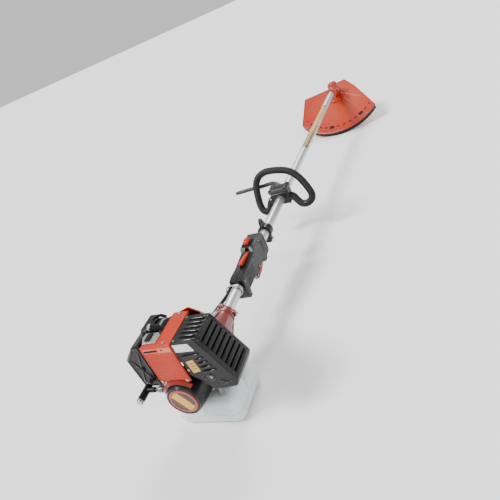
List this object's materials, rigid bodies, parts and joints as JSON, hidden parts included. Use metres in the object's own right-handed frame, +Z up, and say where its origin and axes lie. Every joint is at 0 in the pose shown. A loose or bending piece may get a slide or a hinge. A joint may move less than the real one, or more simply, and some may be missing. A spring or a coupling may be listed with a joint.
{
  "type": "brush cutter",
  "caption": "Petrol brush cutter: rear engine, straight tube shaft with throttle grip and loop handle, bevel gear head and debris guard.",
  "frame": {"origin": "centre of the bounding box on the ground below the shaft", "axes": "+Y forward along the shaft towards the gear head, +X to the user's right, +Z up"},
  "size_m": [0.3706, 2.0296, 0.3252],
  "materials": {
    "orange_paint": "gloss orange-red enamel",
    "dark_red_paint": "dark red enamel",
    "orange_plastic": "moulded orange-red plastic",
    "black_plastic": "moulded black nylon",
    "grey_plastic": "moulded grey nylon",
    "rubber": "black rubber",
    "tank_plastic": "milky translucent polyethylene",
    "aluminium": "brushed tube",
    "cast_aluminium": "sand cast",
    "steel": "machined",
    "dark_steel": "heat-darkened",
    "foam": "oiled filter foam",
    "rope_fibre": "braided cord"
  },
  "bodies": {
    "machine": {"fan_housing": "orange_paint", "gear_case": "orange_paint", "clutch_housing": "dark_red_paint", "cylinder_cover": "orange_plastic", "guard_plate": "orange_plastic", "guard_clamp": "orange_plastic", "starter_housing": "black_plastic", "muffler_cover": "black_plastic", "filter_base": "black_plastic", "filter_cover": "black_plastic", "intake_cover": "black_plastic", "ignition_coil": "black_plastic", "grip_left": "black_plastic", "grip_right": "black_plastic", "sling_clamp": "black_plastic", "rope_guide": "grey_plastic", "fuel_fitting": "grey_plastic", "plug_boot": "rubber", "shaft_bush_1": "rubber", "shaft_bush_2": "rubber", "throttle_cable": "rubber", "guard_skirt": "rubber", "fuel_tank": "tank_plastic", "shaft_tube": "aluminium", "piston": "aluminium", "crankcase": "cast_aluminium", "cylinder": "cast_aluminium", "carburetor": "cast_aluminium", "crank_bearing_rear": "steel", "crank_bearing_front": "steel", "spark_plug": "steel", "drum_bearing": "steel", "pinion_bearing": "steel", "output_bearing": "steel", "muffler": "dark_steel", "filter_element": "foam"},
    "crank": {"crankshaft": "steel", "flywheel": "cast_aluminium", "clutch_shoes": "dark_steel"},
    "drive": {"clutch_drum": "steel", "drive_shaft": "steel", "drive_pinion": "steel"},
    "output": {"bevel_gear": "steel", "output_shaft": "steel", "blade_flange": "steel", "outer_washer": "steel", "output_nut": "steel"},
    "starter_drum": {"starter_reel": "grey_plastic"},
    "pull_handle": {"starter_handle": "black_plastic", "starter_rope": "rope_fibre"},
    "cap": {"fuel_cap": "black_plastic"},
    "choke": {"choke_lever": "grey_plastic"},
    "trigger": {"throttle_trigger": "orange_plastic"},
    "lockout": {"lockout_lever": "orange_plastic"},
    "switch": {"stop_switch": "orange_plastic"},
    "button": {"lock_button": "grey_plastic"},
    "front_handle": {"loop_handle": "rubber", "bracket_base": "black_plastic", "bracket_cover": "grey_plastic", "barrier_bar": "grey_plastic"}
  },
  "joints": [
    {"name": "crank_spin", "type": "hinge", "parent": "machine", "child": "crank", "pos_m": [0, -0.87876, 0.17319], "axis": [0, 1, 0], "continuous": true},
    {"name": "drive_spin", "type": "hinge", "parent": "machine", "child": "drive", "pos_m": [0, 0.02124, 0.17319], "axis": [0, 1, 0], "continuous": true},
    {"name": "output_spin", "type": "hinge", "parent": "machine", "child": "output", "pos_m": [0, 0.92124, 0.17319], "axis": [0, -0.5, 0.866], "continuous": true},
    {"name": "starter_pull", "type": "slide", "parent": "machine", "child": "pull_handle", "axis": [-0.9995, 0, -0.0332], "range_m": [0, 0.8], "stiffness_N_per_m": 10, "springref_m": -0.8},
    {"name": "reel_spin", "type": "hinge", "parent": "machine", "child": "starter_drum", "pos_m": [0, -0.98176, 0.17319], "axis": [0, -1, 0], "range_deg": [0, 1910]},
    {"name": "cap_turn", "type": "hinge", "parent": "machine", "child": "cap", "pos_m": [-0.085, -0.86476, 0.08118], "axis": [-1, 0, 0], "range_deg": [0, 360]},
    {"name": "choke_swing", "type": "hinge", "parent": "machine", "child": "choke", "pos_m": [-0.0585, -0.94076, 0.21319], "axis": [-1, 0, 0], "range_deg": [0, 60]},
    {"name": "trigger_squeeze", "type": "hinge", "parent": "machine", "child": "trigger", "pos_m": [0, -0.47276, 0.14769], "axis": [-1, 0, 0], "range_deg": [0, 18], "stiffness_Nm_per_rad": 0.4, "springref_deg": -20.05},
    {"name": "lockout_press", "type": "hinge", "parent": "machine", "child": "lockout", "pos_m": [0, -0.51576, 0.19568], "axis": [1, 0, 0], "range_deg": [0, 6], "stiffness_Nm_per_rad": 0.4, "springref_deg": -11.46},
    {"name": "switch_slide", "type": "slide", "parent": "machine", "child": "switch", "axis": [0, 1, 0], "range_m": [0, 0.005]},
    {"name": "button_press", "type": "slide", "parent": "machine", "child": "button", "axis": [1, 0, 0], "range_m": [0, 0.003], "stiffness_N_per_m": 300, "springref_m": -0.003},
    {"name": "loop_slide", "type": "slide", "parent": "machine", "child": "front_handle", "axis": [0, 1, 0], "range_m": [-0.06, 0.06]}
  ],
  "couplings": [
    {"joint": "output_spin", "follows": "drive_spin", "ratio": 0.73684},
    {"joint": "reel_spin", "follows": "starter_pull", "rad_per_m": 41.667}
  ]
}
